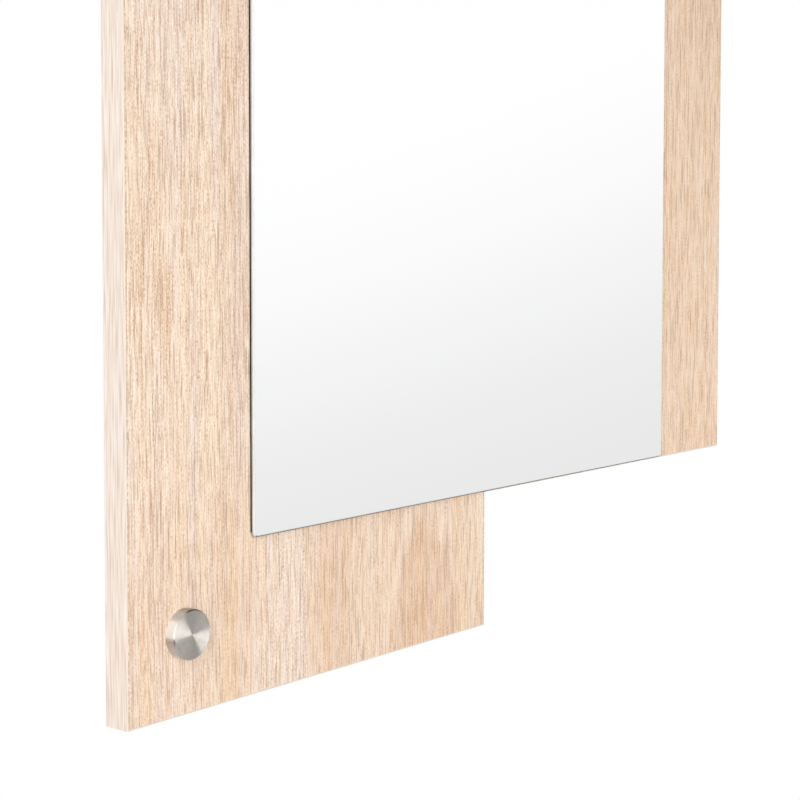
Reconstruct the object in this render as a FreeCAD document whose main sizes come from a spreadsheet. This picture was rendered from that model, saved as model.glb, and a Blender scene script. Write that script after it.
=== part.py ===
import FreeCAD, Part
import os
import re

import Sketcher

# Wall mirror on two staggered boards, in millimetres.
# +X points right, +Y into the wall and +Z up. The origin is on the wall, midway between the two wall fixings.
# The right half is the left half turned by 180 degrees about Y.

doc = FreeCAD.newDocument("staggered_wall_mirror")

driving_sizes = {
    # two boards, side by side, the left one lower
    "board_width": 300,
    "board_height": 556,
    "board_thickness": 16,
    "board_stagger": 84,
    "edging_thickness": 0.8,
    "edging_radius": 0.5,
    # mirror, taped over both boards
    "mirror_side_margin": 88,
    "mirror_end_margin": 1,
    "glass_thickness": 2,
    "glass_corner": 3,
    "glass_front_arris": 0.8,
    "glass_back_arris": 0.3,
    "backing_thickness": 0.2,
    "backing_inset": 1.5,
    "tape_thickness": 0.8,
    "tape_width": 25,
    "tape_end_margin": 3,
    "tape_edge_margin": 0.3,
    "tape_seam_margin": 15,
    # wall fixing: bush, grip ring and push-on cap
    "fixing_inset_x": 39,
    "fixing_inset_z": 42.5,
    "wall_screw_bore": 5.5,
    "countersink_diameter": 10.5,
    "bush_shank": 10,
    "bush_clearance": 0.05,
    "cap_diameter": 26,
    "cap_depth": 6.3,
    "cap_wall": 1.7,
    "cap_face": 1.5,
    "cap_chamfer": 0.6,
    "cap_clearance": 0.3,
    "cap_head_room": 0.6,
    "ring_section": 1.8,
    "ring_clearance": 0.1,
    "ring_seat_gap": 0.05,
    # dowels in the seam
    "dowel_diameter": 8,
    "dowel_length": 30,
    "dowel_chamfer": 1,
    "dowel_end_margin": 56,
    "dowel_clearance": 0.05,
    "dowel_end_gap": 1,
    # joining plates across the seam, on the back
    "plate_length": 110,
    "plate_width": 36,
    "plate_thickness": 2,
    "plate_corner": 5,
    "plate_end_margin": 86,
    "plate_screw_pitch": 60,
    "screw_shank": 3.5,
    "screw_head": 7,
    "screw_front_cover": 5,
    "screw_clearance": 0.05,
    # pads that keep the back off the wall
    "pad_side": 20,
    "pad_thickness": 2.5,
    "pad_inset": 30,
}
dowel_count = 2
plate_screw_count = 2
plate_count = 2
countersink_angle = 90
edging_round_limit = 0.9  # largest rounding, as a share of the edging's thickness
parallel = 0.999  # cosine of the angle under which an edge counts as parallel

sheet = doc.addObject("Spreadsheet::Sheet", "sizes")
for row, (alias, size) in enumerate(driving_sizes.items(), start=1):
    sheet.set(f"A{row}", alias)
    sheet.set(f"B{row}", str(size))
    sheet.setAlias(f"B{row}", alias)
doc.recompute()

# Sizes that follow from the driving ones
board_front = "(-pad_thickness - board_thickness)"
board_centre_x = "(-board_width / 2)"
board_centre_z = "(-board_stagger / 2)"
seam_length = "(board_height - board_stagger)"
core_width = "(board_width - 2 * edging_thickness)"
core_height = "(board_height - 2 * edging_thickness)"
mirror_width = "(2 * board_width - 2 * mirror_side_margin)"
mirror_height = f"({seam_length} - 2 * mirror_end_margin)"
backing_front = f"({board_front} - tape_thickness - backing_thickness)"
fixing_x = "(-board_width + fixing_inset_x)"
fixing_z = "(-board_height / 2 - board_stagger / 2 + fixing_inset_z)"
cap_bore = "(cap_diameter - 2 * cap_wall)"
flange_diameter = f"({cap_bore} - 2 * cap_clearance)"
flange_depth = "(cap_depth - cap_face - cap_head_room)"
ring_radius = f"({cap_bore} / 2 - ring_clearance - ring_section / 2)"
dowel_row = f"({seam_length} - 2 * dowel_end_margin)"
dowel_hole = "(dowel_diameter + 2 * dowel_clearance)"
plate_row = f"({seam_length} - 2 * plate_end_margin)"
plate_back = "(plate_thickness - pad_thickness)"
screw_hole = "(screw_shank + 2 * screw_clearance)"
screw_length = "(plate_thickness + board_thickness - screw_front_cover)"

halves = (
    {"side": "left", "level": "lower", "sign": 1},
    {"side": "right", "level": "upper", "sign": -1},
)
pieces = []


# Words with an underscore name cells of the sheet
def bound(words):
    return re.sub(r"\b[a-z]+(?:_[a-z]+)+\b", r"sizes.\g<0>", words)


def value_of(words):
    return float(sheet.evalExpression(bound(words)))


def new_body(label):
    body = doc.addObject("PartDesign::Body", label)
    body.Label = label
    pieces.append(body)
    return body


def origin_feature(body, role):
    return next(f for f in body.Origin.OriginFeatures if f.Role == role)


# Places a piece; a sign of -1 gives its twin in the right half
def place(piece, x="0", y="0", z="0", sign=1, turn=0):
    angle = turn if sign == 1 else turn + 180
    rotation = FreeCAD.Rotation(FreeCAD.Vector(0, 1, 0), angle)
    piece.Placement = FreeCAD.Placement(FreeCAD.Vector(), rotation)
    piece.setExpression("Placement.Base.x", bound(f"{sign} * ({x})"))
    piece.setExpression("Placement.Base.y", bound(y))
    piece.setExpression("Placement.Base.z", bound(f"{sign} * ({z})"))


def new_sketch(body, role, name):
    sketch = body.newObject("Sketcher::SketchObject", f"{body.Label}_{name}")
    sketch.AttachmentSupport = [(origin_feature(body, role), "")]
    sketch.MapMode = "FlatFace"
    return sketch


# Holds one sketch point at a place that follows the sheet
def hold(sketch, element, point, x, y):
    for kind, axis, words in (("DistanceX", -2, x), ("DistanceY", -1, y)):
        if words == "0":
            sketch.addConstraint(Sketcher.Constraint("PointOnObject", element, point, axis))
        else:
            rule = Sketcher.Constraint(kind, -1, 1, element, point, value_of(words))
            number = sketch.addConstraint(rule)
            sketch.setExpression(f"Constraints[{number}]", bound(words))


def draw_outline(sketch, corners):
    points = [FreeCAD.Vector(value_of(x), value_of(y), 0) for x, y in corners]
    for start, end in zip(points, points[1:] + points[:1]):
        sketch.addGeometry(Part.LineSegment(start, end))
    for side, (x, y) in enumerate(corners):
        before = (side - 1) % len(corners)
        sketch.addConstraint(Sketcher.Constraint("Coincident", before, 2, side, 1))
        hold(sketch, side, 1, x, y)


def draw_rectangle(sketch, width, height):
    right = f"{width} / 2"
    top = f"{height} / 2"
    left = f"-{width} / 2"
    bottom = f"-{height} / 2"
    draw_outline(sketch, [(left, bottom), (right, bottom), (right, top), (left, top)])


def draw_circle(sketch, x, y, diameter):
    centre = FreeCAD.Vector(value_of(x), value_of(y), 0)
    circle = Part.Circle(centre, FreeCAD.Vector(0, 0, 1), value_of(diameter) / 2)
    element = sketch.addGeometry(circle)
    hold(sketch, element, 3, x, y)
    number = sketch.addConstraint(Sketcher.Constraint("Diameter", element, value_of(diameter)))
    sketch.setExpression(f"Constraints[{number}]", bound(diameter))


def add_pad(body, sketch, length, symmetric=False):
    pad = body.newObject("PartDesign::Pad", f"{sketch.Name}_pad")
    pad.Profile = sketch
    pad.SideType = "Symmetric" if symmetric else "One side"
    pad.setExpression("Length", bound(length))
    doc.recompute()
    return pad


# Cuts a sketch through or to a depth, and makes sure that it met the solid
def add_pocket(body, sketch, depth=None, reversed_cut=False):
    before = body.Shape.Volume
    pocket = body.newObject("PartDesign::Pocket", f"{sketch.Name}_pocket")
    pocket.Profile = sketch
    pocket.Reversed = reversed_cut
    if depth is None:
        pocket.Type = "ThroughAll"
    else:
        pocket.setExpression("Length", bound(depth))
    doc.recompute()
    if body.Shape.Volume >= before:
        raise RuntimeError(f"{pocket.Name} cuts nothing")
    return pocket


def add_revolution(body, sketch, axis):
    turned = body.newObject("PartDesign::Revolution", f"{sketch.Name}_turned")
    turned.Profile = sketch
    turned.ReferenceAxis = (sketch, [axis])
    turned.Angle = 360
    doc.recompute()
    return turned


def add_edge_feature(body, kind, base, size_name, size, chosen):
    names = [f"Edge{n}" for n, edge in enumerate(base.Shape.Edges, start=1) if chosen(edge)]
    feature = body.newObject(f"PartDesign::{kind}", f"{body.Label}_{kind.lower()}")
    feature.Base = (base, names)
    feature.setExpression(size_name, bound(size))
    doc.recompute()
    return feature


def runs_along_y(edge):
    return abs(edge.tangentAt(edge.FirstParameter).y) > parallel


def runs_along_z(edge):
    return abs(edge.tangentAt(edge.FirstParameter).z) > parallel


# Boards

def make_board(half):
    board = new_body(f"{half['side']}_board")
    face = new_sketch(board, "XZ_Plane", "face")
    draw_rectangle(face, core_width, core_height)
    add_pad(board, face, "board_thickness")

    fixing = new_sketch(board, "XZ_Plane", "fixing_hole")
    hole_x = f"{fixing_x} - {board_centre_x}"
    hole_z = f"{fixing_z} - {board_centre_z}"
    draw_circle(fixing, hole_x, hole_z, "bush_shank + 2 * bush_clearance")
    add_pocket(board, fixing, reversed_cut=True)

    pilots = new_sketch(board, "XZ_Plane", "pilot_holes")
    for column in range(plate_screw_count // 2):
        for row in range(plate_count):
            x = f"-({column} + 0.5) * plate_screw_pitch - {board_centre_x}"
            z = f"({row} - 0.5) * {plate_row} - {board_centre_z}"
            draw_circle(pilots, x, z, screw_hole)
    add_pocket(board, pilots, f"{screw_length} - plate_thickness", reversed_cut=True)

    seam = new_sketch(board, "YZ_Plane", "dowel_holes")
    seam.setExpression("AttachmentOffset.Base.z", bound(f"{core_width} / 2"))
    draw_dowel_circles(seam, "-board_thickness / 2")
    depth = "dowel_length / 2 + dowel_end_gap - edging_thickness"
    add_pocket(board, seam, depth)
    place(board, board_centre_x, "-pad_thickness", board_centre_z, half["sign"])


def draw_dowel_circles(sketch, y):
    for number in range(dowel_count):
        share = number / (dowel_count - 1) - 0.5
        draw_circle(sketch, y, f"{share} * {dowel_row} - {board_centre_z}", dowel_hole)


# Edging: a strip whose outer face looks along its own +X, with softened long edges

def make_edging(half, name, length, x, z, turn, dowelled=False):
    edging = new_body(f"{half['side']}_board_{name}_edging")
    section = new_sketch(edging, "XY_Plane", "section")
    draw_rectangle(section, "edging_thickness", "board_thickness")
    strip = add_pad(edging, section, length, symmetric=True)

    def outer_long_edge(edge):
        return runs_along_z(edge) and edge.CenterOfMass.x > 0

    radius = f"min(edging_radius; {edging_round_limit} * edging_thickness)"
    add_edge_feature(edging, "Fillet", strip, "Radius", radius, outer_long_edge)
    if dowelled:
        holes = new_sketch(edging, "YZ_Plane", "dowel_holes")
        holes.setExpression("AttachmentOffset.Base.z", bound("edging_thickness / 2"))
        draw_dowel_circles(holes, "0")
        add_pocket(edging, holes)
    y = "-pad_thickness - board_thickness / 2"
    place(edging, f"{board_centre_x} + {x}", y, f"{board_centre_z} + {z}", half["sign"], turn)


def make_edgings(half):
    side_x = "(board_width - edging_thickness) / 2"
    end_z = "(board_height - edging_thickness) / 2"
    make_edging(half, "outer", "board_height", f"-{side_x}", "0", 180)
    make_edging(half, "inner", "board_height", side_x, "0", 0, dowelled=True)
    make_edging(half, "top", core_width, "0", f"{half['sign']} * {end_z}", -90 * half["sign"])
    make_edging(half, "bottom", core_width, "0", f"{-half['sign']} * {end_z}", 90 * half["sign"])


# Mirror

def make_glass():
    glass = new_body("mirror_glass")
    face = new_sketch(glass, "XZ_Plane", "face")
    draw_rectangle(face, mirror_width, mirror_height)
    slab = add_pad(glass, face, "glass_thickness")
    dubbed = add_edge_feature(glass, "Chamfer", slab, "Size", "glass_corner", runs_along_y)

    middle = -value_of("glass_thickness") / 2

    def around_the_front(edge):
        return not runs_along_y(edge) and edge.CenterOfMass.y < middle

    def around_the_back(edge):
        return not runs_along_y(edge) and edge.CenterOfMass.y > -value_of("glass_back_arris") / 2

    seamed = add_edge_feature(glass, "Chamfer", dubbed, "Size", "glass_front_arris", around_the_front)
    add_edge_feature(glass, "Chamfer", seamed, "Size", "glass_back_arris", around_the_back)
    place(glass, y=backing_front)


def make_backing():
    backing = new_body("mirror_backing")
    face = new_sketch(backing, "XZ_Plane", "face")
    width = f"({mirror_width} - 2 * backing_inset)"
    height = f"({mirror_height} - 2 * backing_inset)"
    draw_rectangle(face, width, height)
    film = add_pad(backing, face, "backing_thickness")
    add_edge_feature(backing, "Chamfer", film, "Size", "glass_corner", runs_along_y)
    place(backing, y=f"{board_front} - tape_thickness")


def make_tape(half, name, x):
    tape = new_body(f"{half['side']}_{name}_tape")
    face = new_sketch(tape, "XZ_Plane", "face")
    draw_rectangle(face, "tape_width", f"({mirror_height} - 2 * tape_end_margin)")
    add_pad(tape, face, "tape_thickness")
    place(tape, x, board_front, "0", half["sign"])


# Wall fixing

def make_bush(half):
    bush = new_body(f"{half['level']}_wall_bush")
    profile = new_sketch(bush, "XY_Plane", "profile")
    bore = "wall_screw_bore / 2"
    shank = "bush_shank / 2"
    flange = f"{flange_diameter} / 2"
    ring_seat = f"{ring_radius} - ring_section / 2 - ring_seat_gap"
    ring_shoulder = "-ring_section - 2 * ring_seat_gap"
    wall_end = "board_thickness + pad_thickness"
    sink_depth = "(countersink_diameter - wall_screw_bore) / 2"
    corners = [
        (bore, wall_end),
        (shank, wall_end),
        (shank, "0"),
        (ring_seat, "0"),
        (ring_seat, ring_shoulder),
        (flange, ring_shoulder),
        (flange, f"-{flange_depth}"),
        ("countersink_diameter / 2", f"-{flange_depth}"),
        (bore, f"-{flange_depth} + {sink_depth}"),
    ]
    draw_outline(profile, corners)
    add_revolution(bush, profile, "V_Axis")
    place(bush, fixing_x, board_front, fixing_z, half["sign"])


def make_grip_ring(half):
    ring = new_body(f"{half['level']}_grip_ring")
    profile = new_sketch(ring, "XY_Plane", "profile")
    inside = f"{ring_radius} - ring_section / 2"
    outside = f"{ring_radius} + ring_section / 2"
    back = "-ring_seat_gap"
    front = "-ring_seat_gap - ring_section"
    draw_outline(profile, [(inside, back), (inside, front), (outside, front), (outside, back)])
    add_revolution(ring, profile, "V_Axis")
    place(ring, fixing_x, board_front, fixing_z, half["sign"])


def make_cap(half):
    cap = new_body(f"{half['level']}_cap")
    profile = new_sketch(cap, "XY_Plane", "profile")
    outside = "cap_diameter / 2"
    inside = f"{cap_bore} / 2"
    floor = "-cap_depth + cap_face"
    corners = [
        (inside, "0"),
        (outside, "0"),
        (outside, "-cap_depth + cap_chamfer"),
        (f"{outside} - cap_chamfer", "-cap_depth"),
        ("0", "-cap_depth"),
        ("0", floor),
        (inside, floor),
    ]
    draw_outline(profile, corners)
    add_revolution(cap, profile, "V_Axis")
    place(cap, fixing_x, board_front, fixing_z, half["sign"])


# Joints between the boards

def make_dowels():
    dowels = new_body("seam_dowels")
    dowels.AllowCompound = True
    profile = new_sketch(dowels, "XY_Plane", "profile")
    end = "dowel_length / 2"
    radius = "dowel_diameter / 2"
    corners = [
        (f"-{end}", "0"),
        (f"-{end}", f"{radius} - dowel_chamfer"),
        (f"-{end} + dowel_chamfer", radius),
        (f"{end} - dowel_chamfer", radius),
        (end, f"{radius} - dowel_chamfer"),
        (end, "0"),
    ]
    draw_outline(profile, corners)
    dowel = add_revolution(dowels, profile, "H_Axis")
    row = dowels.newObject("PartDesign::LinearPattern", "seam_dowels_row")
    row.Originals = [dowel]
    row.Direction = (origin_feature(dowels, "Z_Axis"), [""])
    row.setExpression("Length", bound(dowel_row))
    row.Occurrences = dowel_count
    dowels.Tip = row
    place(dowels, y="-pad_thickness - board_thickness / 2", z=f"-{dowel_row} / 2")


def make_joining_plate(half):
    plate = new_body(f"{half['level']}_joining_plate")
    face = new_sketch(plate, "XZ_Plane", "face")
    draw_rectangle(face, "plate_length", "plate_width")
    flat = add_pad(plate, face, "plate_thickness")
    add_edge_feature(plate, "Fillet", flat, "Radius", "plate_corner", runs_along_y)

    centres = new_sketch(plate, "XZ_Plane", "screw_holes")
    for number in range(plate_screw_count):
        step = number - (plate_screw_count - 1) / 2
        draw_circle(centres, f"{step} * plate_screw_pitch", "0", screw_hole)
    doc.recompute()
    before = plate.Shape.Volume
    holes = plate.newObject("PartDesign::Hole", f"{plate.Label}_countersinks")
    holes.Profile = centres
    holes.DepthType = "ThroughAll"
    holes.Reversed = True
    holes.setExpression("Diameter", bound(screw_hole))
    holes.HoleCutType = "Countersink"
    holes.HoleCutCustomValues = True
    holes.HoleCutCountersinkAngle = countersink_angle
    holes.setExpression("HoleCutDiameter", bound("screw_head + 2 * screw_clearance"))
    doc.recompute()
    if plate.Shape.Volume >= before:
        raise RuntimeError(f"{holes.Name} cuts nothing")
    place(plate, "0", plate_back, f"-{plate_row} / 2", half["sign"])


def make_joining_screws():
    screws = new_body("joining_screws")
    screws.AllowCompound = True
    profile = new_sketch(screws, "XY_Plane", "profile")
    head = "screw_head / 2"
    shank = "screw_shank / 2"
    neck = f"-{head} + {shank}"
    corners = [
        ("0", "0"),
        (head, "0"),
        (shank, neck),
        (shank, f"-{screw_length}"),
        ("0", f"-{screw_length}"),
    ]
    draw_outline(profile, corners)
    screw = add_revolution(screws, profile, "V_Axis")
    grid = screws.newObject("PartDesign::LinearPattern", "joining_screws_grid")
    grid.Originals = [screw]
    grid.Direction = (origin_feature(screws, "X_Axis"), [""])
    grid.setExpression("Length", bound(f"{plate_screw_count - 1} * plate_screw_pitch"))
    grid.Occurrences = plate_screw_count
    grid.Direction2 = (origin_feature(screws, "Z_Axis"), [""])
    grid.setExpression("Length2", bound(plate_row))
    grid.Occurrences2 = plate_count
    screws.Tip = grid
    first_x = f"-{plate_screw_count - 1} / 2 * plate_screw_pitch"
    place(screws, first_x, plate_back, f"-{plate_row} / 2")


# Pads on the back

def make_pad(half, level, x, z):
    pad = new_body(f"{half['side']}_{level}_pad")
    face = new_sketch(pad, "XZ_Plane", "face")
    draw_rectangle(face, "pad_side", "pad_side")
    add_pad(pad, face, "pad_thickness")
    place(pad, x, "0", z, half["sign"])


def make_pads(half):
    far, near = ("upper", "lower") if half["side"] == "left" else ("lower", "upper")
    board_end = "(board_height / 2 - pad_inset)"
    make_pad(half, far, "-board_width + pad_inset", f"{board_centre_z} + {board_end}")
    make_pad(half, near, "-pad_inset", f"{board_centre_z} - {board_end}")


for half in halves:
    make_board(half)
    make_edgings(half)
    make_tape(half, "outer", f"-{mirror_width} / 2 + tape_edge_margin + tape_width / 2")
    make_tape(half, "inner", "-tape_seam_margin - tape_width / 2")
    make_bush(half)
    make_grip_ring(half)
    make_cap(half)
    make_joining_plate(half)
    make_pads(half)
make_glass()
make_backing()
make_dowels()
make_joining_screws()
doc.recompute()

for thing in doc.Objects:
    if "Invalid" in thing.State or "Error" in thing.State:
        raise RuntimeError(f"{thing.Name} failed: {thing.State}")
for piece in pieces:
    if piece.Shape.isNull() or not piece.Shape.isValid():
        raise RuntimeError(f"{piece.Label} has no valid shape")
solid_counts = {"seam_dowels": dowel_count, "joining_screws": plate_count * plate_screw_count}
for piece in pieces:
    if len(piece.Shape.Solids) != solid_counts.get(piece.Label, 1):
        raise RuntimeError(f"{piece.Label} has {len(piece.Shape.Solids)} solids")

os.makedirs("parts", exist_ok=True)
for piece in pieces:
    piece.Shape.exportStep(f"parts/{piece.Label}.step")
print(f"{len(pieces)} pieces written")
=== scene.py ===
import math

import bmesh
import bpy
from mathutils import Color, Euler, Matrix, Vector


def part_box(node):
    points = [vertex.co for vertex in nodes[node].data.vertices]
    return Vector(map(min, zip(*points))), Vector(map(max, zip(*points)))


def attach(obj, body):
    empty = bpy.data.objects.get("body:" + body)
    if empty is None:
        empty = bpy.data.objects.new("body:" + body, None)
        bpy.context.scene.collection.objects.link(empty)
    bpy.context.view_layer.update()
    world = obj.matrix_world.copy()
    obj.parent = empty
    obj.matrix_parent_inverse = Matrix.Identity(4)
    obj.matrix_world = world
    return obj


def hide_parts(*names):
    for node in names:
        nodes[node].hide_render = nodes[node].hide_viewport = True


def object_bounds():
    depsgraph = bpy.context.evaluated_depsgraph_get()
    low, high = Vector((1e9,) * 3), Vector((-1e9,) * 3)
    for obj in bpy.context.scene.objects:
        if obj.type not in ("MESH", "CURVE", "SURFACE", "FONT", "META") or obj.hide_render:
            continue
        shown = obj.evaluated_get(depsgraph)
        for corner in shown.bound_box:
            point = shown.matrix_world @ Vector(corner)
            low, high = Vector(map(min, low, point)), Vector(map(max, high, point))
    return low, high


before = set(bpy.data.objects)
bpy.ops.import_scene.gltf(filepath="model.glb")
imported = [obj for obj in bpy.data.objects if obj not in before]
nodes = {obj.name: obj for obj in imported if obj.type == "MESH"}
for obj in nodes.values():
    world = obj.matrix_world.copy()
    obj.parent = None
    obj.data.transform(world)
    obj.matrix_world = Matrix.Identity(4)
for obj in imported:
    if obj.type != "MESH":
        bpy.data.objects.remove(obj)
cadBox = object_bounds()
scene = bpy.context.scene
white = (1, 1, 1, 1)
tolerance = 1e-6  # metres that count as nothing
mergeDistance = 1e-7
sharpAngle = 25  # degrees, edges that turn more stay crisp


# Small helpers for node trees

def tint(red, green, blue):  # screen colour, 0 to 255, as linear values
    return (*Color((red / 255, green / 255, blue / 255)).from_srgb_to_scene_linear(), 1)


def addNode(tree, kind, inputs=None, **settings):
    node = tree.nodes.new(kind)
    for name, value in settings.items():
        setattr(node, name, value)
    for name, value in (inputs or {}).items():
        if isinstance(value, bpy.types.NodeSocket):
            tree.links.new(value, node.inputs[name])
        else:
            node.inputs[name].default_value = value
    return node


def sums(tree, operation, first, second=0.0, third=0.0):
    return addNode(tree, "ShaderNodeMath", {0: first, 1: second, 2: third}, operation=operation).outputs[0]


def squares(tree, first, second):  # sum of both squares
    return sums(tree, "MULTIPLY_ADD", first, first, sums(tree, "MULTIPLY", second, second))


def apart(tree, value, centre, reach):  # distance from centre, in reaches
    return sums(tree, "DIVIDE", sums(tree, "SUBTRACT", value, centre), reach)


def fade(tree, value, start, end):  # soft step from 0 at start to 1 at end
    inputs = {"Value": value, "From Min": start, "From Max": end}
    return addNode(tree, "ShaderNodeMapRange", inputs, interpolation_type="SMOOTHSTEP").outputs["Result"]


def mixColour(tree, share, first, second, blend="MIX"):
    inputs = {0: share, 6: first, 7: second}
    return addNode(tree, "ShaderNodeMix", inputs, data_type="RGBA", blend_type=blend).outputs[2]


def overlay(tree, mask, share, colour, paint):  # a share of paint over colour where mask is 1
    return mixColour(tree, sums(tree, "MULTIPLY", mask, share), colour, tint(*paint))


def objectPlace(tree, offset=(0, 0, 0), turn=(0, 0, 0)):
    place = addNode(tree, "ShaderNodeTexCoord").outputs["Object"]
    inputs = {"Vector": place, "Location": offset, "Rotation": turn}
    return addNode(tree, "ShaderNodeMapping", inputs).outputs[0]


def noise(tree, vector, waves, detail=3.0, roughness=0.55):  # waves per metre along X, Y and Z
    stretched = addNode(tree, "ShaderNodeMapping", {"Vector": vector, "Scale": waves}).outputs[0]
    inputs = {"Vector": stretched, "Scale": 1.0, "Detail": detail, "Roughness": roughness}
    return addNode(tree, "ShaderNodeTexNoise", inputs).outputs["Fac"]


def swing(tree, value, amount, base=0.0):  # noise about its middle, times amount
    return sums(tree, "MULTIPLY_ADD", sums(tree, "SUBTRACT", value, 0.5), amount, base)


def colourRamp(tree, value, stops):
    node = addNode(tree, "ShaderNodeValToRGB", {"Fac": value})
    elements = node.color_ramp.elements
    while len(elements) < len(stops):
        elements.new(1.0)
    for element, (position, colour) in zip(elements, stops):
        element.position = position
        element.color = tint(*colour)
    return node.outputs["Color"]


def bump(tree, height, distance, strength):
    inputs = {"Height": height, "Distance": distance, "Strength": strength}
    return addNode(tree, "ShaderNodeBump", inputs).outputs[0]


def newFinish(name):
    finish = bpy.data.materials.new(name)
    finish.use_nodes = True
    finish.node_tree.nodes.clear()
    return finish, finish.node_tree


def shade(tree, inputs):
    surface = addNode(tree, "ShaderNodeBsdfPrincipled", inputs)
    addNode(tree, "ShaderNodeOutputMaterial", {"Surface": surface.outputs[0]})


# Small helpers for pieces

def dressNode(name, finish):
    nodes[name].material_slots[0].material = finish


def finishPiece(bm, name, body, finishes):
    mesh = bpy.data.meshes.new(name)
    bm.to_mesh(mesh)
    bm.free()
    for finish in finishes:
        mesh.materials.append(finish)
    mesh.shade_smooth()
    mesh.set_sharp_from_angle(angle=math.radians(sharpAngle))
    piece = bpy.data.objects.new(name, mesh)
    scene.collection.objects.link(piece)
    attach(piece, body)
    return piece


def bevelEdges(bm, edges, offset, segments):
    bmesh.ops.bevel(bm, geom=edges, offset=offset, offset_type="OFFSET", affect="EDGES",
                    segments=segments, profile=0.5, material=-1)


def spinRound(bm, parts, centre, steps):  # a full turn about the Y axis through centre
    bmesh.ops.spin(bm, geom=parts, cent=centre, axis=(0, 1, 0), dvec=(0, 0, 0),
                   angle=math.tau, steps=steps, use_merge=True, use_duplicate=False)
    bmesh.ops.remove_doubles(bm, verts=bm.verts, dist=mergeDistance)
    bmesh.ops.recalc_face_normals(bm, faces=bm.faces)


def spinProfile(bm, points, centre, steps):  # points are (radius, Y)
    verts = [bm.verts.new((centre.x + radius, y, centre.z)) for radius, y in points]
    edges = [bm.edges.new(pair) for pair in zip(verts, verts[1:])]
    spinRound(bm, verts + edges, centre, steps)


# Light oak decor, printed on the boards with the grain upright

oak = {
    "waves": {  # layers of grain: waves per metre along X, Y and Z, then detail and roughness
        "longSway": ((9, 9, 2.2), 2),
        "shortSway": ((28, 14, 13), 2),
        "fibres": ((1700, 700, 650), 0),
        "threads": ((1500, 450, 140), 0),
        "lines": ((1200, 450, 17), 0),
        "streaks": ((170, 80, 7), 3, 0.6),
        "bands": ((24, 12, 0.9), 2),
        "busy": ((60, 30, 2.5), 2),  # calm and lively strips
        "cast": ((120, 60, 5), 2),  # strips that lean cream or orange
        "blush": ((330, 160, 14), 3, 0.6),
        "dashes": ((1300, 400, 80), 1, 0.5),
        "crowd": ((75, 40, 3.5), 2),  # where the dashes gather
        "strokes": ((1500, 300, 50), 0),
        "chips": ((90, 90, 420), 3, 0.6),
    },
    "longSway": 0.010,  # metres that the grain wanders sideways
    "shortSway": 0.0022,
    "busy": 0.45,  # how strongly each layer shows
    "threads": 0.9,
    "lines": 0.75,
    "fibres": 1.15,
    "streaks": 0.05,
    "archStreaks": 1.2,
    "archFade": (4.0, 0.3),
    "archInside": (0.4, -0.5),
    "knotFade": (1.6, 0.0),
    "knotThreads": (0.35, 0.6),
    "warmShare": 0.25,
    "warmColour": (238, 204, 168),
    "stripStreaks": 1.5,  # how ragged the strips' sides are
    "paleFade": (0.5, 1.3),
    "stripFade": (1.4, 0.4),
    "stripColour": (0.92, 0.84, 0.78, 1),
    "castFade": (0.3, 0.7),
    "cream": (0.985, 1.0, 1.06, 1),
    "orange": (1.02, 0.985, 0.90, 1),
    "castInWarm": 0.5,
    "blushFade": (0.44, 0.62),
    "blushShare": 0.15,
    "blushColour": (236, 205, 183),
    "dashFade": (0.57, 0.70),
    "crowdFade": (0.35, 0.62),
    "poreShare": 0.35,
    "poreColour": (173, 131, 96),
    "strokeFade": (0.61, 0.70),
    "strokeShare": 0.40,
    "strokeColour": (162, 115, 79),
    "glueFade": (0.0009, 0.0002),  # metres from the board's side
    "chipFade": (0.38, 0.60),
    "glueShare": 0.7,
    "roughness": 0.5,
    "roughnessSwing": 0.25,
    "threadRelief": 0.4,
    "relief": (0.0001, 0.5),  # distance and strength
    "gloss": 0.3,
}
leftOak = {
    "name": "leftBoardOak",
    "node": "left_board",
    "offset": (0.0, 0.0, 0.0),
    "stops": (
        (0.0, (197, 156, 125)),
        (0.3, (222, 191, 166)),
        (0.55, (239, 217, 198)),
        (1.0, (252, 240, 226)),
    ),
    "warmBand": (-0.15, -0.27),  # heights between which the decor turns warmer
    "tone": 0.605,
    "contrast": 0.93,
    "bands": 0.10,
    "cast": 0.75,
    "fineness": 1.0,
    "figure": {"centre": (-0.061, -0.238), "reach": (0.03, 0.06), "rings": 8, "depth": 0.12, "tint": 0.9},
    "strips": ((-0.143, 0.014, 0.65), (-0.222, 0.012, 0.3)),  # place, half width and depth of warm strips
    "paleStrip": (-0.185, 0.02),
    "knot": {"centre": (-0.275, -0.106), "reach": (0.007, 0.026), "depth": 0.35},
}
rightOak = {
    "name": "rightBoardOak",
    "node": "right_board",
    "offset": (0.37, 0.0, 0.21),
    "stops": (
        (0.0, (196, 151, 110)),
        (0.3, (224, 188, 153)),
        (0.55, (240, 211, 183)),
        (1.0, (252, 234, 213)),
    ),
    "warmBand": (0.15, 0.27),
    "tone": 0.59,
    "contrast": 0.64,
    "bands": 0.03,
    "cast": 0.35,
    "fineness": 0.6,
    "figure": {"centre": (0.257, -0.19), "reach": (0.03, 0.12), "rings": 10, "depth": 0.08, "tint": 0.1},
    "strips": ((0.285, 0.012, 0.15),),
    "paleStrip": (0.03, 0.015),
    "knot": {"centre": (0.05, 0.24), "reach": (0.006, 0.022), "depth": 0.30},
}


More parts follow.
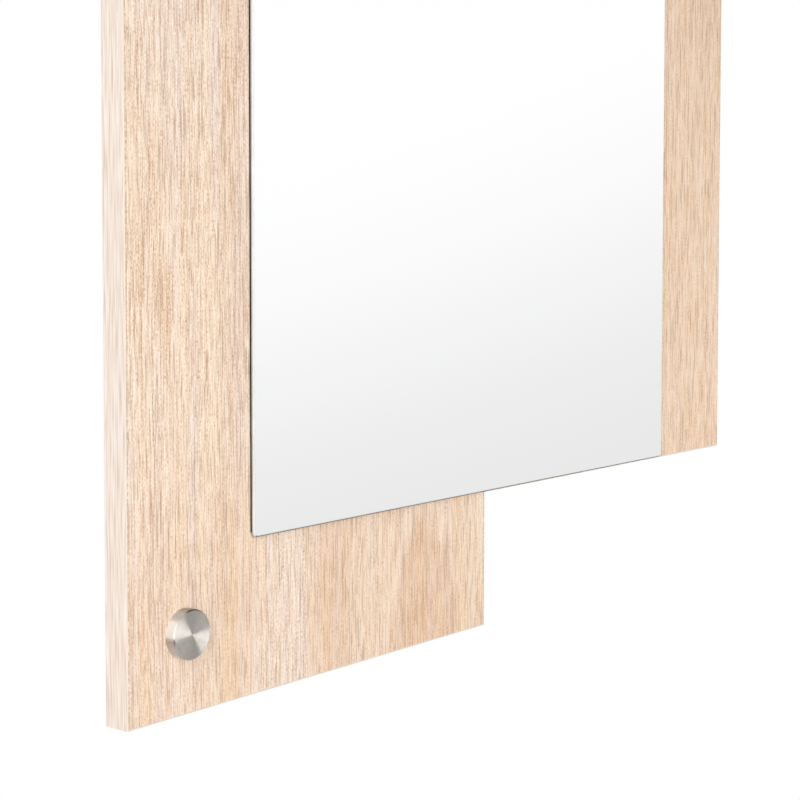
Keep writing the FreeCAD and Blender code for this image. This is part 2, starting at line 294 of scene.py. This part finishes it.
def makeOak(look):
    finish, tree = newFinish(look["name"])
    board = objectPlace(tree)
    place = objectPlace(tree, look["offset"])
    waves = oak["waves"]
    sway = swing(tree, noise(tree, place, *waves["longSway"]), oak["longSway"])
    sway = swing(tree, noise(tree, place, *waves["shortSway"]), oak["shortSway"], sway)
    wander = addNode(tree, "ShaderNodeCombineXYZ", {"X": sway}).outputs[0]
    grain = addNode(tree, "ShaderNodeVectorMath", {0: place, 1: wander}, operation="ADD").outputs[0]

    def layer(name, fineness=1.0):
        (x, y, z), *detail = waves[name]
        return noise(tree, grain, (x * fineness, y, z), *detail)

    fine = look["fineness"]
    fibres = layer("fibres", fine)
    threads = layer("threads", fine)
    streaks = layer("streaks")
    busy = swing(tree, layer("busy"), oak["busy"], 1.0)
    grained = swing(tree, threads, oak["threads"], swing(tree, layer("lines", fine), oak["lines"]))
    tone = sums(tree, "MULTIPLY_ADD", grained, sums(tree, "MULTIPLY", busy, look["contrast"]), look["tone"])
    tone = swing(tree, fibres, oak["fibres"] * look["contrast"], tone)
    tone = swing(tree, streaks, oak["streaks"] * look["contrast"], tone)
    tone = swing(tree, layer("bands"), look["bands"], tone)

    # arched figure: rings of equal height plus squared sideways distance
    figure = look["figure"]
    split = addNode(tree, "ShaderNodeSeparateXYZ", {0: board}).outputs
    across = apart(tree, split["X"], figure["centre"][0], figure["reach"][0])
    across = sums(tree, "ADD", across, swing(tree, streaks, oak["archStreaks"]))
    along = apart(tree, split["Z"], figure["centre"][1], figure["reach"][1])
    arch = sums(tree, "MULTIPLY_ADD", across, across, along)
    rings = sums(tree, "SINE", sums(tree, "MULTIPLY", arch, figure["rings"]))
    beside = fade(tree, squares(tree, across, along), *oak["archFade"])
    tone = sums(tree, "MULTIPLY_ADD", sums(tree, "MULTIPLY", rings, beside), figure["depth"], tone)

    # small knot: a darker eye, drawn out along the grain
    knot = look["knot"]
    knotX = apart(tree, split["X"], knot["centre"][0], knot["reach"][0])
    knotZ = apart(tree, split["Z"], knot["centre"][1], knot["reach"][1])
    eye = fade(tree, squares(tree, knotX, knotZ), *oak["knotFade"])
    eye = sums(tree, "MULTIPLY", eye, fade(tree, threads, *oak["knotThreads"]))
    tone = sums(tree, "MULTIPLY_ADD", eye, -knot["depth"], tone)
    colour = colourRamp(tree, tone, look["stops"])

    # the decor turns warmer towards one end, except in a pale strip
    warm = fade(tree, split["Z"], *look["warmBand"])
    aside = sums(tree, "ABSOLUTE", apart(tree, split["X"], *look["paleStrip"]))
    aside = swing(tree, streaks, oak["stripStreaks"], aside)
    warm = sums(tree, "MULTIPLY", warm, fade(tree, aside, *oak["paleFade"]))
    colour = overlay(tree, warm, oak["warmShare"], colour, oak["warmColour"])
    castColour = mixColour(tree, fade(tree, layer("cast"), *oak["castFade"]), oak["cream"], oak["orange"])
    castShare = sums(tree, "MULTIPLY_ADD", warm, oak["castInWarm"], look["cast"])
    colour = mixColour(tree, castShare, colour, castColour, "MULTIPLY")

    # darker inside the figure and along the warm strips
    inside = sums(tree, "MULTIPLY", fade(tree, arch, *oak["archInside"]), figure["tint"])
    for centre, reach, depth in look["strips"]:
        beyond = sums(tree, "ABSOLUTE", apart(tree, split["X"], centre, reach))
        beyond = swing(tree, streaks, oak["stripStreaks"], beyond)
        strip = sums(tree, "MULTIPLY", fade(tree, beyond, *oak["stripFade"]), depth)
        inside = sums(tree, "MAXIMUM", inside, strip)
    colour = mixColour(tree, inside, colour, oak["stripColour"], "MULTIPLY")

    # rosy streaks, pores as short dark dashes, and longer brown strokes
    blush = fade(tree, layer("blush"), *oak["blushFade"])
    colour = overlay(tree, blush, oak["blushShare"], colour, oak["blushColour"])
    dashes = fade(tree, layer("dashes", fine), *oak["dashFade"])
    pores = sums(tree, "MULTIPLY", dashes, fade(tree, layer("crowd"), *oak["crowdFade"]))
    colour = overlay(tree, pores, oak["poreShare"], colour, oak["poreColour"])
    strokes = fade(tree, layer("strokes", fine), *oak["strokeFade"])
    colour = overlay(tree, strokes, oak["strokeShare"], colour, oak["strokeColour"])

    # glue line where the edging meets the board
    low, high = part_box(look["node"])
    fromLeft = sums(tree, "SUBTRACT", split["X"], low.x)
    fromRight = sums(tree, "SUBTRACT", high.x, split["X"])
    glue = fade(tree, sums(tree, "MINIMUM", fromLeft, fromRight), *oak["glueFade"])
    chips = fade(tree, noise(tree, board, *waves["chips"]), *oak["chipFade"])
    colour = overlay(tree, sums(tree, "MULTIPLY", glue, chips), oak["glueShare"], colour, oak["poreColour"])

    relief = sums(tree, "MULTIPLY_ADD", pores, -1.0, swing(tree, threads, oak["threadRelief"]))
    shade(tree, {
        "Base Color": colour,
        "Roughness": swing(tree, fibres, oak["roughnessSwing"], oak["roughness"]),
        "Normal": bump(tree, relief, *oak["relief"]),
        "Specular IOR Level": oak["gloss"],
    })
    return finish


# Edging: the same oak, paler, with its plain core showing at the rounded corners

edging = {
    "offset": (0.11, 0.07, 0.05),
    "fibreWaves": ((1000, 1000, 45), 0),
    "streakWaves": ((700, 700, 25), 1, 0.6),
    "fibres": 1.4,
    "streaks": 0.5,
    "tone": 0.53,
    "stops": (
        (0.0, (216, 194, 178)),
        (0.35, (239, 221, 206)),
        (0.6, (247, 232, 220)),
        (1.0, (255, 246, 238)),
    ),
    "core": (226, 210, 194),
    "coreShare": 0.8,
    "roundBand": 0.0006,
    "roughness": 0.45,
    "roughnessSwing": 0.2,
    "relief": (0.00006, 0.5),
    "gloss": 0.35,
}


def makeEdging(name, turn):
    finish, tree = newFinish(name)
    place = objectPlace(tree, edging["offset"], turn)
    fibres = noise(tree, place, *edging["fibreWaves"])
    streaks = noise(tree, place, *edging["streakWaves"])
    tone = swing(tree, fibres, edging["fibres"], swing(tree, streaks, edging["streaks"], edging["tone"]))
    colour = colourRamp(tree, tone, edging["stops"])
    low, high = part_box("left_board_outer_edging")
    depth = addNode(tree, "ShaderNodeSeparateXYZ", {0: objectPlace(tree)}).outputs["Y"]
    fromMiddle = sums(tree, "ABSOLUTE", sums(tree, "SUBTRACT", depth, (low.y + high.y) / 2))
    half = (high.y - low.y) / 2
    corner = fade(tree, fromMiddle, half - edging["roundBand"], half - edging["roundBand"] / 3)
    shade(tree, {
        "Base Color": overlay(tree, corner, edging["coreShare"], colour, edging["core"]),
        "Roughness": swing(tree, fibres, edging["roughnessSwing"], edging["roughness"]),
        "Normal": bump(tree, fibres, *edging["relief"]),
        "Specular IOR Level": edging["gloss"],
    })
    return finish


dressNode("left_board", makeOak(leftOak))
dressNode("right_board", makeOak(rightOak))
uprightEdging = makeEdging("uprightEdging", (0, 0, 0))
levelEdging = makeEdging("levelEdging", (0, math.radians(90), 0))
for side in ("left", "right"):
    for edge in ("outer", "inner"):
        dressNode(f"{side}_board_{edge}_edging", uprightEdging)
    for edge in ("top", "bottom"):
        dressNode(f"{side}_board_{edge}_edging", levelEdging)
print("boards and edging dressed")


# Mirror pane: silvered face, ground edge with an arris, painted back

pane = {
    "corner": 0.003,
    "cornerSteps": 3,
    "frontArris": 0.0008,
    "backArris": 0.0003,
    "rim": 0.0005,
    "square": 0.9,  # a direction with this share of Y counts as along Y
    "slanted": 0.3,
    "downwards": -0.6,
    "hazeWaves": ((9, 9, 9), 3),
    "rippleWaves": ((4, 4, 4), 1),
    "ripple": (0.00002, 0.15),
    "scratchWaves": ((260, 3000, 260), 3, 0.6),  # grinding lines run along the edge
    "cloudWaves": ((60, 60, 60), 2),
    "scratches": 1.2,
    "clouds": 0.8,
    "toneSpread": (0.2, 0.8),
    "scratchRelief": (0.00004, 0.5),
    "glassIndex": 1.52,
}
silverFinishes = {  # colour and roughness
    "silverFace": ((0.995, 0.997, 0.997, 1), 0.006),
    "silverRim": ((0.95, 0.95, 0.95, 1), 0.05),
}
groundFinishes = {  # dark and pale colour, roughness
    "groundEdge": ((150, 151, 150), (178, 178, 175), 0.35),
    "groundArris": ((200, 201, 200), (220, 220, 218), 0.35),
    "backPaint": ((66, 69, 72), (84, 87, 90), 0.5),
    # painted shade: the arris along the bottom edge gets a darker copy of the arris colour, as if it lay in
    # shade
    "shadedLowerArris": ((118, 115, 108), (140, 137, 130), 0.4),
}


def makeSilver(name, colour, roughness):
    finish, tree = newFinish(name)
    place = objectPlace(tree)
    gloss = swing(tree, noise(tree, place, *pane["hazeWaves"]), roughness, roughness)
    normal = bump(tree, noise(tree, place, *pane["rippleWaves"]), *pane["ripple"])
    shade(tree, {"Base Color": colour, "Metallic": 1.0, "Roughness": gloss, "Normal": normal})
    return finish


def makeGroundEdge(name, dark, pale, roughness):
    finish, tree = newFinish(name)
    place = objectPlace(tree)
    scratches = noise(tree, place, *pane["scratchWaves"])
    clouds = noise(tree, place, *pane["cloudWaves"])
    tone = swing(tree, scratches, pane["scratches"], swing(tree, clouds, pane["clouds"], 0.5))
    colour = colourRamp(tree, tone, tuple(zip(pane["toneSpread"], (dark, pale))))
    normal = bump(tree, scratches, *pane["scratchRelief"])
    shade(tree, {"Base Color": colour, "Roughness": roughness, "Normal": normal, "IOR": pane["glassIndex"]})
    return finish


def makePane():
    low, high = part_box("mirror_glass")
    bm = bmesh.new()
    bmesh.ops.create_cube(bm, size=1.0)
    bmesh.ops.scale(bm, vec=high - low, verts=bm.verts)
    bmesh.ops.translate(bm, vec=(low + high) / 2, verts=bm.verts)

    def runsBack(edge):  # from the front to the back
        return abs((edge.verts[0].co - edge.verts[1].co).normalized().y) > pane["square"]

    def liesAt(edge, y):
        return all(abs(vert.co.y - y) < tolerance for vert in edge.verts)

    bevelEdges(bm, [edge for edge in bm.edges if runsBack(edge)], pane["corner"], pane["cornerSteps"])
    for arris, y in (("frontArris", low.y), ("backArris", high.y)):
        bevelEdges(bm, [edge for edge in bm.edges if liesAt(edge, y)], pane[arris], 1)
    bm.normal_update()
    front = [face for face in bm.faces if face.normal.y < -pane["square"]]
    rim = bmesh.ops.inset_region(bm, faces=front, thickness=pane["rim"], use_even_offset=True)["faces"]
    bm.normal_update()
    finishNames = [*silverFinishes, *groundFinishes]
    for face in bm.faces:
        if face.normal.y < -pane["square"]:
            name = "silverRim" if face in rim else "silverFace"
        elif face.normal.y > pane["square"]:
            name = "backPaint"
        elif abs(face.normal.y) > pane["slanted"]:
            # arris faces that look down take the darker copy with painted shade, the rest the plain ground
            # arris
            name = "shadedLowerArris" if face.normal.z < pane["downwards"] else "groundArris"
        else:
            name = "groundEdge"
        face.material_index = finishNames.index(name)
    finishes = [makeSilver(name, *look) for name, look in silverFinishes.items()]
    finishes += [makeGroundEdge(name, *look) for name, look in groundFinishes.items()]
    piece = finishPiece(bm, "mirrorPane", "panel", finishes)
    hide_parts("mirror_glass")


makePane()
print("mirror pane made")


# Turned caps: cups with a lathe-cut face that push over the wall bushes

cap = {
    "wall": 0.0017,
    "face": 0.0015,
    "chamfer": 0.0006,
    "leadIn": 0.0004,
    "steps": 128,
    "groove": 0.0004,  # width of one lathe groove
    "grooveDepth": 0.00005,
    "grooveParts": 6,
    "faceSteel": (0.492, 0.463, 0.427),
    "faceRoughness": 0.22,
    "sideSteel": (0.68, 0.655, 0.62),
    "sideRoughness": 0.38,
    "roughnessSwing": 0.1,
    "fineWaves": ((5200, 6, 1), 2, 0.6),  # outwards and round
    "coarseWaves": ((900, 3, 1), 2),
    "fine": 0.9,
    "coarse": 0.7,
    "pale": 1.16,
    "dark": 0.88,
    "brushing": 1.0,
}


def makeTurnedSteel(name, steel, roughness):
    finish, tree = newFinish(name)
    rings = addNode(tree, "ShaderNodeUVMap", uv_map="turning").outputs[0]
    fine = noise(tree, rings, *cap["fineWaves"])
    coarse = noise(tree, rings, *cap["coarseWaves"])
    tone = swing(tree, fine, cap["fine"], swing(tree, coarse, cap["coarse"], 0.5))
    dark = (*(cap["dark"] * part for part in steel), 1)
    pale = (*(cap["pale"] * part for part in steel), 1)
    shade(tree, {
        "Base Color": mixColour(tree, tone, dark, pale),
        "Metallic": 1.0,
        "Roughness": swing(tree, fine, cap["roughnessSwing"], roughness),
        "Anisotropic": cap["brushing"],
        "Tangent": addNode(tree, "ShaderNodeTangent", direction_type="UV_MAP", uv_map="turning").outputs[0],
    })
    return finish


def mapTurning(bm, centre, faceY):  # U runs outwards along the profile, V once round the axis
    layer = bm.loops.layers.uv.new("turning")
    for face in bm.faces:
        middle = face.calc_center_median() - centre
        middleTurn = math.atan2(middle.z, middle.x)
        for loop in face.loops:
            arm = loop.vert.co - centre
            radius = math.hypot(arm.x, arm.z)
            turn = math.atan2(arm.z, arm.x) if radius > tolerance else middleTurn
            turn += math.tau * round((middleTurn - turn) / math.tau)
            loop[layer].uv = (radius + abs(loop.vert.co.y - faceY), turn / math.tau)


def makeCap(level, finishes):
    low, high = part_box(f"{level}_cap")
    centre = (low + high) / 2
    radius = (high.x - low.x) / 2
    bore = radius - cap["wall"]
    boreEnd = low.y + cap["face"]
    edge = radius - cap["chamfer"]
    parts = round(edge / cap["groove"]) * cap["grooveParts"]
    points = []
    for number in range(parts + 1):  # rounded grooves from the middle out to the chamfer
        wave = 0.5 - 0.5 * math.cos(math.tau * number / cap["grooveParts"])
        points.append((edge * number / parts, low.y + wave * cap["grooveDepth"]))
    points += [
        (radius, low.y + cap["chamfer"]),
        (radius, high.y),
        (bore + cap["leadIn"], high.y),
        (bore, high.y - cap["leadIn"]),
        (bore, boreEnd),
        (0.0, boreEnd),
    ]
    bm = bmesh.new()
    spinProfile(bm, points, centre, cap["steps"])
    mapTurning(bm, centre, low.y)
    for face in bm.faces:
        face.material_index = 0 if face.calc_center_median().y < low.y + cap["chamfer"] else 1
    piece = finishPiece(bm, f"{level}CapTurned", f"{level}_cap", finishes)
    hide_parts(f"{level}_cap")
    return piece


capFinishes = (
    makeTurnedSteel("turnedFace", cap["faceSteel"], cap["faceRoughness"]),
    makeTurnedSteel("turnedSide", cap["sideSteel"], cap["sideRoughness"]),
)
capPieces = bpy.data.collections.new("capPieces")
for level in ("lower", "upper"):
    capPieces.objects.link(makeCap(level, capFinishes))
print("caps made")


# Finishes of the hidden hardware, most of which keeps its solid shape

zincPlating = {
    "cells": 350.0,
    "smearWaves": ((40, 40, 40), 3),
    "spangle": 0.35,
    "smear": 0.8,
    "stops": ((0.1, (158, 163, 168)), (0.9, (205, 209, 212))),
    "roughness": 0.36,
    "roughnessSwing": 0.18,
}
beech = {
    "fleckWaves": ((120, 900, 900), 3),
    "stops": ((0.3, (188, 138, 98)), (0.7, (222, 178, 138))),
    "roughness": 0.6,
    "relief": (0.0001, 0.5),
}
softGrain = {"detail": 4, "roughness": 0.6, "spread": (0.35, 0.65), "strength": 0.6}
softFinishes = {  # dark and pale colour, grains per metre, roughness, depth of grain, gloss
    "ringRubber": ((22, 22, 24), (38, 38, 40), 1500, 0.55, 0.00003, 0.5),
    "padRubber": ((196, 194, 188), (222, 220, 214), 900, 0.6, 0.00005, 0.5),
    "foamTape": ((14, 14, 15), (30, 30, 31), 2500, 0.85, 0.0001, 0.1),
    "backingFilm": ((72, 78, 84), (92, 98, 104), 60, 0.4, 0.00002, 0.5),
}


def makeZinc():
    finish, tree = newFinish("zincPlating")
    place = objectPlace(tree)
    cells = addNode(tree, "ShaderNodeTexVoronoi", {"Vector": place, "Scale": zincPlating["cells"]})
    spangle = addNode(tree, "ShaderNodeSeparateColor", {0: cells.outputs["Color"]}).outputs["Red"]
    smear = noise(tree, place, *zincPlating["smearWaves"])
    tone = swing(tree, spangle, zincPlating["spangle"], swing(tree, smear, zincPlating["smear"], 0.5))
    colour = colourRamp(tree, tone, zincPlating["stops"])
    roughness = swing(tree, spangle, zincPlating["roughnessSwing"], zincPlating["roughness"])
    shade(tree, {"Base Color": colour, "Metallic": 1.0, "Roughness": roughness})
    return finish


def makeBeech():
    finish, tree = newFinish("beech")
    flecks = noise(tree, objectPlace(tree), *beech["fleckWaves"])
    colour = colourRamp(tree, flecks, beech["stops"])
    normal = bump(tree, flecks, *beech["relief"])
    shade(tree, {"Base Color": colour, "Roughness": beech["roughness"], "Normal": normal})
    return finish


def makeSoft(name):
    dark, pale, scale, roughness, depth, gloss = softFinishes[name]
    finish, tree = newFinish(name)
    waves = (scale, scale, scale)
    grains = noise(tree, objectPlace(tree), waves, softGrain["detail"], softGrain["roughness"])
    colour = colourRamp(tree, grains, tuple(zip(softGrain["spread"], (dark, pale))))
    normal = bump(tree, grains, depth, softGrain["strength"])
    shade(tree, {"Base Color": colour, "Roughness": roughness, "Normal": normal, "Specular IOR Level": gloss})
    return finish


# Grip rings: round rubber cord behind the bush's flange

gripRing = {"sides": 16, "steps": 96}


def makeGripRing(level, finish):
    low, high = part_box(f"{level}_grip_ring")
    centre = (low + high) / 2
    section = (high.y - low.y) / 2
    start = centre + Vector(((high.x - low.x) / 2 - section, 0, 0))
    bm = bmesh.new()
    bmesh.ops.create_circle(bm, segments=gripRing["sides"], radius=section, matrix=Matrix.Translation(start))
    spinRound(bm, bm.verts[:] + bm.edges[:], centre, gripRing["steps"])
    piece = finishPiece(bm, f"{level}GripCord", "panel", (finish,))
    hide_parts(f"{level}_grip_ring")


# Joining screws: countersunk heads with a cross recess

screw = {
    "head": 0.0035,
    "shank": 0.00175,
    "tip": 0.003,
    "columns": 2,
    "cross": 0.0019,
    "crossCells": 3,
    "crossDepth": 0.0016,
    "crossTaper": 0.6,
    "steps": 36,
    "turnStep": 37,  # degrees from one screw's cross to the next
}


def makeScrewShape(length):  # head level with Y 0 and facing +Y
    head, shank, reach, count = screw["head"], screw["shank"], screw["cross"], screw["crossCells"]
    bm = bmesh.new()
    points = ((head, 0.0), (shank, shank - head), (shank, screw["tip"] - length), (0.0, -length))
    spinProfile(bm, points, Vector(), screw["steps"])
    upright = Matrix.Rotation(math.radians(-90), 4, "X")
    grid = bmesh.ops.create_grid(bm, x_segments=count, y_segments=count, size=reach, matrix=upright)["verts"]
    cells = list({face for vert in grid for face in vert.link_faces})
    middles = {face: face.calc_center_median() for face in cells}
    corners = [face for face in cells if min(abs(middles[face].x), abs(middles[face].z)) > reach / count]
    bmesh.ops.delete(bm, geom=corners, context="FACES")
    cross = [face for face in cells if face.is_valid]
    sunk = bmesh.ops.extrude_face_region(bm, geom=cross)["geom"]
    sunkVerts = [part for part in sunk if isinstance(part, bmesh.types.BMVert)]
    taper = (screw["crossTaper"], 1, screw["crossTaper"])
    bmesh.ops.scale(bm, vec=taper, verts=sunkVerts)
    bmesh.ops.translate(bm, vec=(0, -screw["crossDepth"], 0), verts=sunkVerts)
    bmesh.ops.delete(bm, geom=[face for face in cross if face.is_valid], context="FACES_ONLY")
    inside = [edge for edge in bm.edges if edge.is_wire]
    bmesh.ops.delete(bm, geom=inside, context="EDGES")
    rim = [edge for edge in bm.edges if edge.is_boundary]
    bmesh.ops.triangle_fill(bm, edges=rim, use_beauty=True, normal=(0, 1, 0))
    bmesh.ops.recalc_face_normals(bm, faces=bm.faces)
    return bm


def makeScrews(finish):
    low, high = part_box("joining_screws")
    one = bpy.data.meshes.new("oneScrew")
    shape = makeScrewShape(high.y - low.y)
    shape.to_mesh(one)
    shape.free()
    first = Vector((low.x + screw["head"], high.y, low.z + screw["head"]))
    last = Vector((high.x - screw["head"], high.y, high.z - screw["head"]))
    bm = bmesh.new()
    number = 0
    for z in (first.z, last.z):
        for column in range(screw["columns"]):
            before = set(bm.verts)
            bm.from_mesh(one)
            added = [vert for vert in bm.verts if vert not in before]
            turn = Matrix.Rotation(math.radians(number * screw["turnStep"]), 3, "Y")
            bmesh.ops.rotate(bm, cent=(0, 0, 0), matrix=turn, verts=added)
            x = first.x + (last.x - first.x) * column / (screw["columns"] - 1)
            bmesh.ops.translate(bm, vec=(x, high.y, z), verts=added)
            number += 1
    bpy.data.meshes.remove(one)
    piece = finishPiece(bm, "joiningScrews", "panel", (finish,))
    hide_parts("joining_screws")


zinc = makeZinc()
soft = {name: makeSoft(name) for name in softFinishes}
for level in ("lower", "upper"):
    dressNode(f"{level}_wall_bush", zinc)
    makeGripRing(level, soft["ringRubber"])
    dressNode(f"{level}_joining_plate", zinc)
    for side in ("left", "right"):
        dressNode(f"{side}_{level}_pad", soft["padRubber"])
for side in ("left", "right"):
    for row in ("outer", "inner"):
        dressNode(f"{side}_{row}_tape", soft["foamTape"])
makeScrews(zinc)
dressNode("mirror_backing", soft["backingFilm"])
dressNode("seam_dowels", makeBeech())
print("hardware dressed")


# Studio: pale floor well below the hung mirror, white surround,
# soft lamps in front, at both sides and behind, and a small one for the caps

floor = {"drop": 0.95, "radius": 2.2, "fadeFrom": 0.9, "steps": 128, "colour": (228, 227, 224)}
surround = {
    "light": 0.29,  # strength of the diffuse light from above
    "lightFrom": (-0.1, 0.3),
    "ground": (233, 233, 233),  # what the mirror shows low down
    "lean": (0.357, -0.726, 1.0),
    "groundToWhite": (0.53, 0.79),
    "low": (160, 160, 160),  # farther down, the floor's colour
    "lowFrom": (-0.2, -0.4),
    "ceiling": (70, 70, 72),  # dark overhead, at the right only
    "ceilingFrom": (0.12, 0.28),
    "ceilingRight": (0.15, 0.5),
}


def seenDirectly(tree):  # camera, mirror and glass rays
    path = addNode(tree, "ShaderNodeLightPath").outputs
    seen = sums(tree, "MAXIMUM", path["Is Camera Ray"], path["Is Glossy Ray"])
    return sums(tree, "MAXIMUM", seen, path["Is Transmission Ray"])


def makeFloor():
    bm = bmesh.new()
    bmesh.ops.create_circle(bm, cap_ends=True, segments=floor["steps"], radius=floor["radius"])
    bmesh.ops.translate(bm, vec=(0, 0, cadBox[0].z - floor["drop"]), verts=bm.verts)
    mesh = bpy.data.meshes.new("studioFloor")
    bm.to_mesh(mesh)
    bm.free()
    finish, tree = newFinish("studioFloor")
    place = objectPlace(tree)
    flat = addNode(tree, "ShaderNodeVectorMath", {0: place, 1: (1, 1, 0)}, operation="MULTIPLY").outputs[0]
    away = addNode(tree, "ShaderNodeVectorMath", {0: flat}, operation="LENGTH").outputs["Value"]
    outer = fade(tree, away, floor["fadeFrom"], floor["radius"])
    rimShare = sums(tree, "MULTIPLY", outer, seenDirectly(tree))
    pale = addNode(tree, "ShaderNodeBsdfDiffuse", {"Color": tint(*floor["colour"])})
    path = addNode(tree, "ShaderNodeLightPath").outputs
    rimColour = mixColour(tree, path["Is Camera Ray"], tint(*surround["low"]), white)
    rim = addNode(tree, "ShaderNodeEmission", {"Color": rimColour, "Strength": 1.0})
    both = addNode(tree, "ShaderNodeMixShader", {0: rimShare, 1: pale.outputs[0], 2: rim.outputs[0]})
    addNode(tree, "ShaderNodeOutputMaterial", {"Surface": both.outputs[0]})
    mesh.materials.append(finish)
    piece = bpy.data.objects.new("studioFloor", mesh)
    scene.collection.objects.link(piece)


def makeSurround():
    world = bpy.data.worlds.new("studioSurround")
    scene.world = world
    world.use_nodes = True
    tree = world.node_tree
    tree.nodes.clear()
    direction = addNode(tree, "ShaderNodeTexCoord").outputs["Generated"]
    inputs = {0: direction, 1: surround["lean"]}
    height = addNode(tree, "ShaderNodeVectorMath", inputs, operation="DOT_PRODUCT").outputs["Value"]
    whiteShare = fade(tree, height, *surround["groundToWhite"])
    walls = mixColour(tree, whiteShare, tint(*surround["ground"]), white)
    parts = addNode(tree, "ShaderNodeSeparateXYZ", {0: direction}).outputs
    up = parts["Z"]
    walls = mixColour(tree, fade(tree, up, *surround["lowFrom"]), walls, tint(*surround["low"]))
    overhead = sums(tree, "MULTIPLY", fade(tree, up, *surround["ceilingFrom"]),
                    fade(tree, parts["X"], *surround["ceilingRight"]))
    walls = mixColour(tree, overhead, walls, tint(*surround["ceiling"]))
    path = addNode(tree, "ShaderNodeLightPath").outputs
    walls = mixColour(tree, path["Is Camera Ray"], walls, white)
    sky = sums(tree, "MULTIPLY", fade(tree, up, *surround["lightFrom"]), surround["light"])
    light = addNode(tree, "ShaderNodeBackground", {"Color": white, "Strength": sky})
    seen = addNode(tree, "ShaderNodeBackground", {"Color": walls, "Strength": 1.0})
    inputs = {0: seenDirectly(tree), 1: light.outputs[0], 2: seen.outputs[0]}
    both = addNode(tree, "ShaderNodeMixShader", inputs)
    addNode(tree, "ShaderNodeOutputWorld", {"Surface": both.outputs[0]})


frontLamp = {
    "name": "frontLamp",
    "place": (-0.17, -2.45, -0.03),
    "aim": (-0.17, 0, -0.03),
    "size": (2.3, 2.1),
    "power": 33.4,
    "mirrored": False,  # stands where the viewer does, so the mirror doesn't show it
}
glintLamp = {
    "name": "glintLamp",
    "place": (1.24, -2.585, -0.69),
    "aim": (-0.261, 0, -0.2775),
    "size": (0.74, 0.74),
    "shape": "ELLIPSE",
    "power": 6.2,
    "onlyOn": capPieces,  # it draws the bright sectors on the turned steel
}
leftLamp = {
    "name": "leftLamp",
    "place": (-2.4, -0.95, 0.75),
    "aim": (0, 0, 0),
    "size": (2.0, 3.6),
    "power": 69,
}
rightLamp = {
    "name": "rightLamp",
    "place": (2.4, -0.3, -0.5),
    "aim": (0, -0.1, -0.2),
    "size": (1.4, 1.4),
    "power": 10,
}
rearLamp = {
    "name": "rearLamp",
    "place": (1.9, 1.9, 0.7),
    "aim": (0, 0, 0),
    "size": (2.0, 2.0),
    "power": 48,
}


def makeLamp(look):
    lamp = bpy.data.lights.new(look["name"], "AREA")
    lamp.shape = look.get("shape", "RECTANGLE")
    lamp.size, lamp.size_y = look["size"]
    lamp.energy = look["power"]
    stand = bpy.data.objects.new(look["name"], lamp)
    stand.location = look["place"]
    sight = Vector(look["aim"]) - Vector(look["place"])
    stand.rotation_euler = sight.to_track_quat("-Z", "Y").to_euler()
    stand.visible_camera = False
    stand.visible_glossy = look.get("mirrored", True)
    stand.light_linking.receiver_collection = look.get("onlyOn")
    scene.collection.objects.link(stand)


makeFloor()
makeSurround()
for lampLook in (frontLamp, glintLamp, leftLamp, rightLamp, rearLamp):
    makeLamp(lampLook)
print("studio made")


# Camera, from the photo's left, with its frame moved a little below the lens axis

view = {
    "place": (-0.88162, -0.65936, -0.06857),
    "yaw": 51.187,  # degrees from straight ahead towards the right
    "pitch": -2.863,
    "roll": 0.059,
    "lens": 78.66,
    "sensor": 36.0,
    "shiftY": -0.11,
}


def makeCamera():
    camera = bpy.data.cameras.new("photoCamera")
    camera.lens = view["lens"]
    camera.sensor_width = view["sensor"]
    camera.shift_y = view["shiftY"]
    stand = bpy.data.objects.new("photoCamera", camera)
    stand.location = view["place"]
    turn = Euler((math.radians(90 + view["pitch"]), 0, -math.radians(view["yaw"])), "XYZ").to_matrix()
    stand.rotation_euler = (turn @ Matrix.Rotation(math.radians(view["roll"]), 3, "Z")).to_euler()
    scene.collection.objects.link(stand)
    scene.camera = stand


makeCamera()
scene.view_settings.view_transform = "Standard"
print("camera placed")
